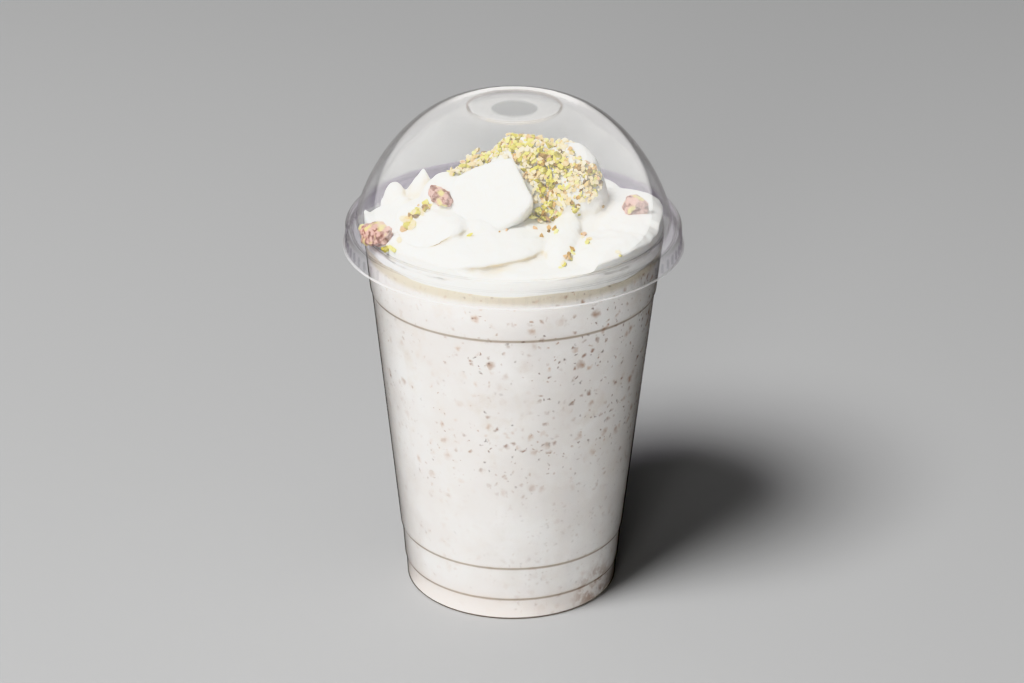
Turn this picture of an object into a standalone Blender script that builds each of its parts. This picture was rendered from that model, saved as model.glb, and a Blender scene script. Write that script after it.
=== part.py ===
# A milkshake to go: a clear plastic cup with a domed lid, a speckled shake, thick whipped cream
# with chopped pistachios, and one blocky lump of the same cream on top.
# Metres, +Z up. The origin is the middle of the base, on the surface that the cup stands on.
import math
import random

import bmesh
import bpy
from mathutils import Matrix, Vector

SIDES = 48                # flats round every turned piece
GAP = 0.0003              # air between pieces that touch
WELD = 0.000001           # points closer than this are one

# The cup
CUP_WALL = 0.0005
FLOOR_HEIGHT = 0.0030     # underside of the raised floor
FLOOR_R = 0.0275
FOOT_INNER_R = 0.0299
FOOT_OUTER_R = 0.0325
FOOT_ROUND = 0.0005
RING_LOW = (0.0333, 0.0070)    # radius and height where each ring's small step starts
RING_MIDDLE = (0.0345, 0.0183)
RING_TOP = (0.0431, 0.0985)
RING_STEP_OUT = 0.00045
RING_STEP_UP = 0.0007
NECK = (0.0453, 0.1166)        # the wall just under the rolled rim
RIM_R = 0.0494
RIM_TOP = 0.1199
RIM_HEIGHT = 0.0030
RIM_ROUND = 0.0009
MOUTH_R = 0.0451

# The lid
LID_WALL = 0.0005
SKIRT_R = 0.0515
SKIRT_BOTTOM = 0.1127
SKIRT_NECK = (0.0504, 0.1168)
BEAD = (0.0508, 0.1189)
FLANGE_OUTER_R = 0.0497
FLANGE_TOP = 0.1207
DOME_R = 0.0475
DOME_RISE = 0.0354
DOME_STEPS = 7
DOME_SIDE_POWER = 1.064    # how square the dome is at its foot and at its shoulder
DOME_RISE_POWER = 1.47
CROWN_R = 0.0144           # the small ridge round the lid's flat top
CROWN_ROUND = 0.0006
RECESS_R = 0.0130
RECESS_DEPTH = 0.0008
STRAW_HOLE_R = 0.0068

# The drink and the cream
SHAKE_LEVEL = 0.1140
CREAM_BOTTOM = SHAKE_LEVEL + GAP
CREAM_R = 0.0444
CREAM_EDGE_HEIGHT = 0.1188    # at the cup's wall
CREAM_LEVEL = 0.1200          # between the lumps
CREAM_EDGE_WIDTH = 0.0025
CREAM_RINGS = 18
CREAM_SIDES = 56
CREAM_BLEND = 0.0008          # how softly two lumps run together

# Each lump of cream: middle, half widths, turn in degrees, top, and how full its sides are
CREAM_LUMPS = (
    {"x": -0.001, "y": 0.004, "wide": 0.022, "deep": 0.017, "turn": 0, "top": 0.1455, "full": 0.62},
    {"x": 0.014, "y": -0.002, "wide": 0.0135, "deep": 0.0145, "turn": 0, "top": 0.1455, "full": 0.50},
    {"x": 0.022, "y": -0.009, "wide": 0.0065, "deep": 0.0190, "turn": -8, "top": 0.1360, "full": 0.50},
    {"x": -0.005, "y": -0.025, "wide": 0.0215, "deep": 0.0170, "turn": 8, "top": 0.1280, "full": 0.50},
    {"x": -0.022, "y": -0.020, "wide": 0.0115, "deep": 0.0130, "turn": 20, "top": 0.1305, "full": 0.45},
    {"x": -0.022, "y": -0.003, "wide": 0.0135, "deep": 0.0120, "turn": 0, "top": 0.1305, "full": 0.50},
    {"x": -0.033, "y": 0.003, "wide": 0.0115, "deep": 0.0140, "turn": 15, "top": 0.1285, "full": 0.45},
    {"x": -0.036, "y": -0.016, "wide": 0.0085, "deep": 0.0100, "turn": 25, "top": 0.1235, "full": 0.50},
    {"x": -0.027, "y": 0.007, "wide": 0.0085, "deep": 0.0080, "turn": 0, "top": 0.1355, "full": 1.80},
    {"x": 0.019, "y": -0.031, "wide": 0.0170, "deep": 0.0100, "turn": 35, "top": 0.1245, "full": 0.50},
    {"x": 0.033, "y": -0.004, "wide": 0.0115, "deep": 0.0220, "turn": 8, "top": 0.1275, "full": 0.35},
    {"x": -0.016, "y": 0.026, "wide": 0.0170, "deep": 0.0120, "turn": -25, "top": 0.1265, "full": 0.50},
    {"x": 0.015, "y": 0.027, "wide": 0.0180, "deep": 0.0110, "turn": 22, "top": 0.1250, "full": 0.50},
)

# The blocky lump leans on the mound. Its outline is seen square on, from its own middle.
LUMP_OUTLINE = ((0.0008, -0.0150), (0.0130, -0.0040), (0.0068, 0.0132), (-0.0095, 0.0105), (-0.0112, -0.0045))
LUMP_DEEP = 0.0110
LUMP_ROUND = 0.0024
LUMP_MIDDLE = (-0.0062, -0.0126, 0.1324)
LUMP_LEAN = 48                # degrees from upright

# Chopped pistachios: middle and half widths of each patch, its turn, number of pieces, smallest and largest
NUT_PATCHES = (
    {"x": 0.013, "y": -0.009, "wide": 0.0130, "deep": 0.0095, "turn": 0, "pieces": 54, "least": 0.0017, "most": 0.0025},
    {"x": -0.009, "y": 0.001, "wide": 0.0095, "deep": 0.0030, "turn": 12, "pieces": 13, "least": 0.0016, "most": 0.0023},
    {"x": 0.001, "y": 0.003, "wide": 0.0045, "deep": 0.0025, "turn": 0, "pieces": 7, "least": 0.0017, "most": 0.0024},
    {"x": 0.008, "y": -0.021, "wide": 0.0060, "deep": 0.0030, "turn": 20, "pieces": 6, "least": 0.0015, "most": 0.0021},
    {"x": -0.026, "y": -0.013, "wide": 0.0080, "deep": 0.0025, "turn": 35, "pieces": 7, "least": 0.0015, "most": 0.0022},
    {"x": 0.020, "y": -0.028, "wide": 0.0080, "deep": 0.0050, "turn": 70, "pieces": 3, "least": 0.0012, "most": 0.0015},
)
SKINNED_PIECES = (
    {"x": -0.0380, "y": -0.0165, "turn": -65, "long": 0.0050, "thick": 0.0026},
    {"x": -0.0220, "y": -0.0075, "turn": -50, "long": 0.0038, "thick": 0.0024},
    {"x": 0.0350, "y": -0.0115, "turn": 20, "long": 0.0038, "thick": 0.0023},
)
NUT_SEED = 11
NUT_CHIP = 0.24               # how far a chopped corner strays, as a share of its radius
NUT_ABOVE = 0.25              # how far a piece's middle lies above the cream, as a share of its radius
STEEPEST = 4.0                # slopes steeper than this, as area over plan area, hold no more pieces


def make_material(name, colour, roughness, alpha=1.0):
    """One plain finish for one sub-part."""
    material = bpy.data.materials.new(name)
    material.use_nodes = True
    shader = material.node_tree.nodes["Principled BSDF"]
    shader.inputs["Base Color"].default_value = (*colour, 1.0)
    shader.inputs["Roughness"].default_value = roughness
    shader.inputs["Metallic"].default_value = 0.0
    shader.inputs["Alpha"].default_value = alpha
    return material


def add_object(name, bm, material):
    """Turns a finished bmesh into a named, smooth-shaded object."""
    bmesh.ops.recalc_face_normals(bm, faces=bm.faces)
    mesh = bpy.data.meshes.new(name)
    bm.to_mesh(mesh)
    bm.free()
    mesh.materials.append(material)
    mesh.shade_smooth()
    mesh.set_sharp_from_angle(angle=math.radians(35))
    piece = bpy.data.objects.new(name, mesh)
    bpy.context.scene.collection.objects.link(piece)
    return piece


def turned(name, outline, material, closed):
    """Spins an outline of (radius, height) points round the Z axis."""
    bm = bmesh.new()
    points = [bm.verts.new((r, 0, z)) for r, z in outline]
    pairs = list(zip(points, points[1:]))
    if closed:
        pairs.append((points[-1], points[0]))
    edges = [bm.edges.new(pair) for pair in pairs]
    bmesh.ops.spin(
        bm, geom=points + edges, axis=(0, 0, 1), cent=(0, 0, 0), angle=math.tau, steps=SIDES, use_merge=True
    )
    bmesh.ops.remove_doubles(bm, verts=bm.verts, dist=WELD)
    return add_object(name, bm, material)


def inset(outline, depth):
    """The same outline, moved to its left-hand side by depth, with mitred corners."""
    moved = []
    for i, point in enumerate(outline):
        here = Vector(point)
        before = Vector(outline[i - 1]) if i else None
        after = Vector(outline[i + 1]) if i + 1 < len(outline) else None
        ways = [b - a for a, b in ((before, here), (here, after)) if a is not None and b is not None]
        sides = [Vector((-way.y, way.x)).normalized() for way in ways]
        middle = sum(sides, Vector((0, 0))).normalized()
        corner = here + middle * depth / middle.dot(sides[0])
        moved.append((0.0 if here.x == 0 else corner.x, corner.y))
    return moved


def ring_step(ring):
    """A ring's small step: the wall moves out a little and goes on."""
    r, z = ring
    return [(r, z), (r + RING_STEP_OUT, z + RING_STEP_UP)]


def cup_skin():
    """The cup's outer side, from the middle of the raised floor to the neck under the rim."""
    return [
        (0.0, FLOOR_HEIGHT),
        (FLOOR_R, FLOOR_HEIGHT),
        (FOOT_INNER_R, 0.0),
        (FOOT_OUTER_R, 0.0),
        (FOOT_OUTER_R + FOOT_ROUND, FOOT_ROUND),
        *ring_step(RING_LOW),
        *ring_step(RING_MIDDLE),
        *ring_step(RING_TOP),
        NECK,
    ]


def make_cup(material):
    rim = [
        (RIM_R - RIM_ROUND, RIM_TOP - RIM_HEIGHT),
        (RIM_R, RIM_TOP - RIM_HEIGHT + RIM_ROUND),
        (RIM_R, RIM_TOP - RIM_ROUND),
        (RIM_R - RIM_ROUND, RIM_TOP),
        (MOUTH_R + RIM_ROUND, RIM_TOP),
        (MOUTH_R, RIM_TOP - RIM_ROUND),
    ]
    outer = cup_skin()
    inner = inset(outer, CUP_WALL)
    return turned("cup", outer + rim + inner[::-1], material, closed=False)


def make_milkshake(material):
    side = inset(cup_skin(), CUP_WALL + GAP)
    (low_r, low_z), (high_r, high_z) = side[-2:]
    share = (SHAKE_LEVEL - low_z) / (high_z - low_z)
    surface_r = low_r + (high_r - low_r) * share
    outline = side[:-1] + [(surface_r, SHAKE_LEVEL), (0.0, SHAKE_LEVEL)]
    return turned("milkshake", outline, material, closed=False)


def dome_point(share):
    """A point of the dome's side, from its foot at 0 to its shoulder at 1."""
    angle = share * math.pi / 2
    r = CROWN_R + (DOME_R - CROWN_R) * math.cos(angle) ** DOME_SIDE_POWER
    z = FLANGE_TOP + DOME_RISE * math.sin(angle) ** DOME_RISE_POWER
    return (r, z)


def make_lid(material):
    crown_z = FLANGE_TOP + DOME_RISE
    outer = [(SKIRT_R, SKIRT_BOTTOM), SKIRT_NECK, BEAD, (FLANGE_OUTER_R, FLANGE_TOP)]
    outer += [dome_point(i / DOME_STEPS) for i in range(DOME_STEPS)]
    outer += [
        (CROWN_R, crown_z),
        (CROWN_R - CROWN_ROUND, crown_z),
        (RECESS_R, crown_z - RECESS_DEPTH),
        (STRAW_HOLE_R, crown_z - RECESS_DEPTH),
    ]
    inner = inset(outer, LID_WALL)
    return turned("lid", outer + inner[::-1], material, closed=True)


def in_patch(patch, x, y):
    """Where (x, y) lies in an oval: 0 in its middle, 1 on its edge, as a squared share."""
    turn = math.radians(patch["turn"])
    dx = x - patch["x"]
    dy = y - patch["y"]
    across = (dx * math.cos(turn) + dy * math.sin(turn)) / patch["wide"]
    along = (dy * math.cos(turn) - dx * math.sin(turn)) / patch["deep"]
    return across * across + along * along


def cream_height(x, y):
    """Height of the cream's surface: the highest lump here, with soft joins."""
    height = 0.0
    for lump in CREAM_LUMPS:
        spread = in_patch(lump, x, y)
        fill = (1 - spread) ** lump["full"] if spread < 1 else 1 - spread
        rise = (lump["top"] - CREAM_LEVEL) * fill
        overlap = max(CREAM_BLEND - abs(height - rise), 0)
        height = max(height, rise) + overlap * overlap / (4 * CREAM_BLEND)
    to_wall = CREAM_R - math.hypot(x, y)
    edge = min(max(to_wall / CREAM_EDGE_WIDTH, 0), 1)
    rounded = math.sqrt(1 - (1 - edge) ** 2)
    return CREAM_EDGE_HEIGHT + (CREAM_LEVEL + height - CREAM_EDGE_HEIGHT) * rounded


def cream_normal(x, y):
    step = 0.0004
    slope_x = (cream_height(x + step, y) - cream_height(x - step, y)) / (2 * step)
    slope_y = (cream_height(x, y + step) - cream_height(x, y - step)) / (2 * step)
    return Vector((-slope_x, -slope_y, 1)).normalized()


def make_cream(material):
    """A disc of rings, raised to the lumps, with a flat underside."""
    bm = bmesh.new()
    top = bm.verts.new((0, 0, cream_height(0, 0)))
    rings = []
    for i in range(1, CREAM_RINGS + 1):
        r = CREAM_R * i / CREAM_RINGS
        ring = []
        for k in range(CREAM_SIDES):
            angle = math.tau * k / CREAM_SIDES
            x = r * math.cos(angle)
            y = r * math.sin(angle)
            ring.append(bm.verts.new((x, y, cream_height(x, y))))
        rings.append(ring)
    rings.append([bm.verts.new((v.co.x, v.co.y, CREAM_BOTTOM)) for v in rings[-1]])
    for k in range(CREAM_SIDES):
        after = (k + 1) % CREAM_SIDES
        bm.faces.new((top, rings[0][k], rings[0][after]))
        for inner, outer in zip(rings, rings[1:]):
            bm.faces.new((inner[k], outer[k], outer[after], inner[after]))
    bm.faces.new(rings[-1])
    bmesh.ops.triangulate(bm, faces=bm.faces)
    return add_object("whipped_cream", bm, material)


def chopped_piece(rng, radii, place, turn):
    """One small angular piece: a coarse ball with its corners strayed."""
    bm = bmesh.new()
    bmesh.ops.create_icosphere(bm, subdivisions=1, radius=1.0)
    for v in bm.verts:
        v.co *= 1 + rng.uniform(-NUT_CHIP, NUT_CHIP)
        v.co = Vector((v.co.x * radii[0], v.co.y * radii[1], v.co.z * radii[2]))
    bm.transform(Matrix.Translation(place) @ turn)
    return bm


def place_in(patch, rng):
    """A random place in an oval patch, spread evenly over the cream's surface, also where it is steep."""
    turn = math.radians(patch["turn"])
    while True:
        r = math.sqrt(rng.random())
        angle = rng.uniform(0, math.tau)
        across = patch["wide"] * r * math.cos(angle)
        along = patch["deep"] * r * math.sin(angle)
        x = patch["x"] + across * math.cos(turn) - along * math.sin(turn)
        y = patch["y"] + across * math.sin(turn) + along * math.cos(turn)
        if rng.random() < 1 / (cream_normal(x, y).z * STEEPEST):
            return x, y


def on_cream(x, y, above):
    return Vector((x, y, cream_height(x, y))) + cream_normal(x, y) * above


def make_nuts(material):
    """Every piece that shows from a step away, in a collection of its own."""
    rng = random.Random(NUT_SEED)
    nuts = bpy.data.collections.new("nuts")
    meshes = []
    for patch in NUT_PATCHES:
        for _ in range(patch["pieces"]):
            x, y = place_in(patch, rng)
            r = rng.uniform(patch["least"], patch["most"])
            radii = (r, r * rng.uniform(0.65, 0.95), r * rng.uniform(0.55, 0.8))
            lie = cream_normal(x, y).to_track_quat("Z", "Y").to_matrix().to_4x4()
            turn = lie @ Matrix.Rotation(rng.uniform(0, math.tau), 4, "Z")
            turn = turn @ Matrix.Rotation(rng.uniform(-0.7, 0.7), 4, "X")
            meshes.append(chopped_piece(rng, radii, on_cream(x, y, r * NUT_ABOVE), turn))
    for skinned in SKINNED_PIECES:
        x, y = skinned["x"], skinned["y"]
        radii = (skinned["long"], skinned["long"] * 0.65, skinned["thick"])
        lie = cream_normal(x, y).to_track_quat("Z", "Y").to_matrix().to_4x4()
        turn = lie @ Matrix.Rotation(math.radians(skinned["turn"]), 4, "Z")
        meshes.append(chopped_piece(rng, radii, on_cream(x, y, skinned["thick"] * NUT_ABOVE), turn))
    for i, bm in enumerate(meshes):
        piece = add_object(f"nut_{i}", bm, material)
        bpy.context.scene.collection.objects.unlink(piece)
        nuts.objects.link(piece)
    return nuts


def lump_mesh(grown):
    """The blocky lump, or a copy of it grown by a gap on every side."""
    bm = bmesh.new()
    face = bm.faces.new([bm.verts.new((x, y, -LUMP_DEEP / 2)) for x, y in LUMP_OUTLINE])
    back = bmesh.ops.extrude_face_region(bm, geom=[face])
    moved = [part for part in back["geom"] if isinstance(part, bmesh.types.BMVert)]
    bmesh.ops.translate(bm, verts=moved, vec=(0, 0, LUMP_DEEP))
    bmesh.ops.bevel(bm, geom=bm.edges, offset=LUMP_ROUND, segments=3, profile=0.5, affect="EDGES")
    bmesh.ops.triangulate(bm, faces=bm.faces)
    bmesh.ops.recalc_face_normals(bm, faces=bm.faces)
    bm.normal_update()
    for v in bm.verts:
        v.co += v.normal * grown
    lean = Matrix.Rotation(math.radians(LUMP_LEAN), 4, "X")
    bm.transform(Matrix.Translation(LUMP_MIDDLE) @ lean)
    return bm


def apply_boolean(piece, operation, solver, **what):
    modifier = piece.modifiers.new(operation.lower(), "BOOLEAN")
    modifier.operation = operation
    modifier.solver = solver
    for name, value in what.items():
        setattr(modifier, name, value)
    bpy.context.view_layer.objects.active = piece
    bpy.ops.object.modifier_apply(modifier=modifier.name)


def keep_largest_body(piece):
    """Drops loose scraps and the skins of sealed hollows."""
    bm = bmesh.new()
    bm.from_mesh(piece.data)
    bmesh.ops.remove_doubles(bm, verts=bm.verts, dist=WELD)
    left = set(bm.faces)
    bodies = []
    while left:
        body = {left.pop()}
        edge_of_body = list(body)
        while edge_of_body:
            face = edge_of_body.pop()
            near = {other for edge in face.edges for other in edge.link_faces} & left
            left -= near
            body |= near
            edge_of_body += near
        bodies.append(body)
    bodies.sort(key=len)
    scraps = [face for body in bodies[:-1] for face in body]
    bmesh.ops.delete(bm, geom=scraps, context="FACES")
    bm.to_mesh(piece.data)
    bm.free()


def main():
    for old in list(bpy.data.objects):
        bpy.data.objects.remove(old)
    clear_plastic = make_material("clear_plastic", (0.93, 0.94, 0.96), 0.06, 0.25)
    lid_plastic = make_material("lid_plastic", (0.90, 0.91, 0.94), 0.05, 0.25)
    shake = make_material("shake", (0.72, 0.67, 0.62), 0.45)
    cream = make_material("cream", (0.93, 0.90, 0.84), 0.55)
    thick_cream = make_material("thick_cream", (0.95, 0.94, 0.90), 0.5)

    make_cup(clear_plastic)
    make_lid(lid_plastic)
    make_milkshake(shake)
    whipped = make_cream(cream)
    nuts = make_nuts(cream)
    apply_boolean(whipped, "UNION", "EXACT", operand_type="COLLECTION", collection=nuts)
    for nut in list(nuts.objects):
        bpy.data.objects.remove(nut)
    bpy.data.collections.remove(nuts)

    add_object("cream_lump", lump_mesh(0.0), thick_cream)
    seat = add_object("lump_seat", lump_mesh(GAP), thick_cream)
    apply_boolean(whipped, "DIFFERENCE", "EXACT", object=seat)
    bpy.data.objects.remove(seat)
    keep_largest_body(whipped)


main()
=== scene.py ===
import math
import random

import bpy
from mathutils import Matrix, Vector
from mathutils.bvhtree import BVHTree


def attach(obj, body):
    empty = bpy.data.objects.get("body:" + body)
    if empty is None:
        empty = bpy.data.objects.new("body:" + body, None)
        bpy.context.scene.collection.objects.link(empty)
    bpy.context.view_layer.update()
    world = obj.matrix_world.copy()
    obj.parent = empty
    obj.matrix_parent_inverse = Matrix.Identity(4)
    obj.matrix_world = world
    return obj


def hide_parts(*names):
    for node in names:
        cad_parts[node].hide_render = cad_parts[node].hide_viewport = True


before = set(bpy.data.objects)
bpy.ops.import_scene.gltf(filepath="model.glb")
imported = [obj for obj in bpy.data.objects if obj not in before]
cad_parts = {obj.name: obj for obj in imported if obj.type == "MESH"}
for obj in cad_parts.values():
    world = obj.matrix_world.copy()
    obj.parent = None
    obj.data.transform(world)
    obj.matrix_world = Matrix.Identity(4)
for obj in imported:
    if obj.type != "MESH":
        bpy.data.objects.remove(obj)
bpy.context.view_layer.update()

print("frame loaded:", ", ".join(sorted(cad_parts)))


# Small tools for working as by hand

weld = 0.000002    # points closer than this are one
frameWide = 1024   # the photograph, in pixels
frameTall = 683
creaseAngle = 40   # degrees: turned and bevelled pieces stay sharp above it


def pickOnly(piece):
    bpy.ops.object.select_all(action="DESELECT")
    piece.select_set(True)
    bpy.context.view_layer.objects.active = piece


def openMesh(piece, action="DESELECT"):
    pickOnly(piece)
    bpy.ops.object.mode_set(mode="EDIT")
    bpy.ops.mesh.select_mode(type="VERT")
    bpy.ops.mesh.select_all(action=action)


def closeMesh():
    bpy.ops.object.mode_set(mode="OBJECT")


def useModifier(piece, kind, **settings):
    pickOnly(piece)
    modifier = piece.modifiers.new(kind.lower(), kind)
    for name, value in settings.items():
        setattr(modifier, name, value)
    bpy.ops.object.modifier_apply(modifier=modifier.name)


def settle(piece):
    # the place goes into the mesh, and the object back to the origin
    pickOnly(piece)
    bpy.ops.object.transform_apply(location=True, rotation=True, scale=True)


def joinPieces(pieces, name):
    bpy.ops.object.select_all(action="DESELECT")
    for piece in pieces:
        piece.select_set(True)
    bpy.context.view_layer.objects.active = pieces[0]
    bpy.ops.object.join()
    pieces[0].name = name
    return pieces[0]


def copyAs(master, place):
    twin = master.copy()
    twin.data = master.data.copy()
    bpy.context.scene.collection.objects.link(twin)
    twin.matrix_world = place
    return twin


def smoothBy(piece, degrees):
    pickOnly(piece)
    bpy.ops.object.shade_smooth_by_angle(angle=math.radians(degrees))


def smoothAll(piece):
    pickOnly(piece)
    bpy.ops.object.shade_smooth()


def swell(piece, size, height, depth=2):
    # a little unevenness, by a cloud pattern of this size
    clouds = bpy.data.textures.new("swell", "CLOUDS")
    clouds.noise_scale = size
    clouds.noise_depth = depth
    useModifier(piece, "DISPLACE", texture=clouds, strength=height, mid_level=0.5, texture_coords="GLOBAL")
    bpy.data.textures.remove(clouds)


def dress(piece, finish, slot, *nodes):
    piece.data.materials.clear()
    piece.data.materials.append(finish)
    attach(piece, "root")
    if nodes:
        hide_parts(*nodes)


# Turned pieces: an outline of (radius, height) points, its corners rounded, spun round the middle

def drawOutline(name, points):
    bpy.ops.object.select_all(action="DESELECT")
    bpy.ops.mesh.primitive_plane_add(size=0.01)
    piece = bpy.context.object
    piece.name = name
    bpy.ops.object.mode_set(mode="EDIT")
    bpy.ops.mesh.select_all(action="SELECT")
    bpy.ops.mesh.merge(type="CENTER")
    bpy.ops.transform.translate(value=(points[0][0], 0, points[0][1]))
    for (r, z), (nextR, nextZ) in zip(points, points[1:]):
        bpy.ops.mesh.extrude_region_move(TRANSFORM_OT_translate={"value": (nextR - r, 0, nextZ - z)})
    closeMesh()
    return piece


def roundCorner(piece, corner, size, segments=4):
    place = Vector((corner[0], 0, corner[1]))
    openMesh(piece)
    closeMesh()
    nearest = min(piece.data.vertices, key=lambda v: (v.co - place).length)
    nearest.select = True
    bpy.ops.object.mode_set(mode="EDIT")
    bpy.ops.mesh.bevel(offset=size, offset_type="OFFSET", segments=segments, affect="VERTICES")
    closeMesh()


def spinRound(piece, steps, plainHeight):
    openMesh(piece, "SELECT")
    bpy.ops.mesh.spin(steps=steps, angle=math.tau, center=(0, 0, 0), axis=(0, 0, 1))
    bpy.ops.mesh.select_all(action="SELECT")
    bpy.ops.mesh.remove_doubles(threshold=weld)
    bpy.ops.mesh.normals_make_consistent(inside=False)
    closeMesh()
    # a plain stretch of wall shows which way the sheet faces
    wall = min(piece.data.polygons, key=lambda face: abs(face.center.z - plainHeight))
    if wall.normal.dot(Vector((wall.center.x, wall.center.y, 0))) < 0:
        openMesh(piece, "SELECT")
        bpy.ops.mesh.flip_normals()
        closeMesh()


def insetOutline(outline, depth):
    # the same outline, moved towards the middle with mitred corners
    moved = []
    for i, point in enumerate(outline):
        here = Vector(point)
        ways = []
        if i > 0:
            ways.append(here - Vector(outline[i - 1]))
        if i + 1 < len(outline):
            ways.append(Vector(outline[i + 1]) - here)
        sides = [Vector((-way.y, way.x)).normalized() for way in ways]
        middle = sum(sides, Vector((0, 0))).normalized()
        corner = here + middle * depth / middle.dot(sides[0])
        moved.append((0.0 if here.x == 0 else corner.x, corner.y))
    return moved


# Shader maths: one small class lets sums on sockets read as plain expressions

class Socket:
    def __init__(self, finish, out):
        self.finish = finish
        self.out = out

    def maths(self, operation, *values):
        return self.finish.node("ShaderNodeMath", {"operation": operation}, dict(enumerate(values)))

    def __add__(self, other):
        return self.maths("ADD", self, other)

    def __radd__(self, other):
        return self.maths("ADD", other, self)

    def __sub__(self, other):
        return self.maths("SUBTRACT", self, other)

    def __rsub__(self, other):
        return self.maths("SUBTRACT", other, self)

    def __mul__(self, other):
        return self.maths("MULTIPLY", self, other)

    def __rmul__(self, other):
        return self.maths("MULTIPLY", other, self)

    def __truediv__(self, other):
        return self.maths("DIVIDE", self, other)

    def __pow__(self, other):
        return self.maths("POWER", self, other)

    def rising(self, low, high):
        # 0 below low, 1 above high, soft between; falls where low is over high
        return self.finish.node(
            "ShaderNodeMapRange",
            {"interpolation_type": "SMOOTHSTEP"},
            {"Value": self, "From Min": low, "From Max": high},
        )


class Finish:
    def __init__(self, name, world=None):
        self.owner = world or bpy.data.materials.new(name)
        self.owner.use_nodes = True
        self.tree = self.owner.node_tree
        self.tree.nodes.clear()

    def node(self, kind, settings=None, sockets=None, out=0):
        made = self.tree.nodes.new(kind)
        for name, value in (settings or {}).items():
            if name == "stops":
                self.setStops(made.color_ramp, value)
            else:
                setattr(made, name, value)
        for name, value in (sockets or {}).items():
            if isinstance(value, Socket):
                self.tree.links.new(value.out, made.inputs[name])
            else:
                made.inputs[name].default_value = value
        return Socket(self, made.outputs[out]) if made.outputs else made

    def setStops(self, ramp, stops):
        while len(ramp.elements) < len(stops):
            ramp.elements.new(1.0)
        for element, (place, colour) in zip(ramp.elements, stops):
            element.position = place
            element.color = colour

    def place(self):
        return self.node("ShaderNodeTexCoord", out="Object")

    def noise(self, scale, detail=2.0, roughness=0.5):
        sockets = {"Vector": self.place(), "Scale": scale, "Detail": detail, "Roughness": roughness}
        return self.node("ShaderNodeTexNoise", {}, sockets)

    def clouds(self, scale, detail, low, high):
        # rough noise that rises from low to high
        return self.noise(scale, detail, 0.6).rising(low, high)

    def blend(self, share, first, second):
        # of two colours
        settings = {"data_type": "RGBA", "blend_type": "MIX", "clamp_factor": True}
        return self.node("ShaderNodeMix", settings, {0: share, 6: first, 7: second}, out=2)

    def mixShaders(self, share, first, second):
        return self.node("ShaderNodeMixShader", {}, {0: share, 1: first, 2: second})

    def tint(self, share, under, colour):
        # a clear sheet's colour where share is high
        return self.mixShaders(share, under, self.node("ShaderNodeBsdfTransparent", {}, {"Color": colour}))

    def along(self, axis):
        # the place on one axis of the piece
        return self.node("ShaderNodeSeparateXYZ", {}, {"Vector": self.place()}, out=axis)

    def near(self, value, goal, reach):
        # 1 close to the goal, 0 beyond the reach
        away = value.maths("ABSOLUTE", value - goal)
        return 1 - away.rising(*reach)

    def bump(self, height, distance):
        return self.node("ShaderNodeBump", {}, {"Height": height, "Distance": distance, "Strength": 1.0})

    def surface(self, shader):
        isWorld = isinstance(self.owner, bpy.types.World)
        kind = "ShaderNodeOutputWorld" if isWorld else "ShaderNodeOutputMaterial"
        self.node(kind, {}, {"Surface": shader})
        return self.owner


def tone(red, green, blue):
    # a colour as picked on a screen, 0 to 255, made linear
    linear = [((c / 255 + 0.055) / 1.055) ** 2.4 if c > 10 else c / 255 / 12.92 for c in (red, green, blue)]
    return (*linear, 1.0)


# The cup

cupShape = {
    "wall": 0.0005,
    "floorHeight": 0.0030,
    "floorR": 0.0275,
    "floorRound": 0.0010,
    "footInnerR": 0.0299,
    "footInnerRound": 0.0004,
    "footOuterR": 0.0325,
    "footRound": 0.0005,
    "rings": ((0.0333, 0.0070), (0.0345, 0.0183), (0.0431, 0.0985)),
    "ringStepOut": 0.00045,
    "ringStepUp": 0.0007,
    "ringRound": 0.0003,
    "neck": (0.0453, 0.1166),
    "rollMiddle": (0.0471, 0.1181),
    "rollWide": 0.0018,
    "rollTall": 0.0013,
    "rollEnd": -55,          # degrees, where the curled rim stops
    "rollSteps": 14,
    "plainHeight": 0.06,     # a plain stretch of its wall
    "steps": 192,
}


def cupSkin():
    skin = [
        (0.0, cupShape["floorHeight"]),
        (cupShape["floorR"], cupShape["floorHeight"]),
        (cupShape["footInnerR"], 0.0),
        (cupShape["footOuterR"], 0.0),
        (cupShape["footOuterR"] + cupShape["footRound"], cupShape["footRound"]),
    ]
    for r, z in cupShape["rings"]:
        skin += [(r, z), (r + cupShape["ringStepOut"], z + cupShape["ringStepUp"])]
    return skin + [cupShape["neck"]]


def curledRim():
    r, z = cupShape["rollMiddle"]
    points = []
    for i in range(cupShape["rollSteps"] + 1):
        angle = math.radians(180 + (cupShape["rollEnd"] - 180) * i / cupShape["rollSteps"])
        out = cupShape["rollWide"] * math.cos(angle)
        up = cupShape["rollTall"] * math.sin(angle)
        points.append((r + out, z + up))
    return points


def makeCup():
    cup = drawOutline("clear_cup", cupSkin() + curledRim())
    for r, z in cupShape["rings"]:
        roundCorner(cup, (r, z), cupShape["ringRound"])
        roundCorner(cup, (r + cupShape["ringStepOut"], z + cupShape["ringStepUp"]), cupShape["ringRound"])
    roundCorner(cup, (cupShape["floorR"], cupShape["floorHeight"]), cupShape["floorRound"])
    roundCorner(cup, (cupShape["footInnerR"], 0.0), cupShape["footInnerRound"])
    spinRound(cup, cupShape["steps"], cupShape["plainHeight"])
    useModifier(cup, "SOLIDIFY", thickness=cupShape["wall"], offset=-1, use_even_offset=True)
    smoothBy(cup, creaseAngle)
    return cup


# The lid

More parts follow.
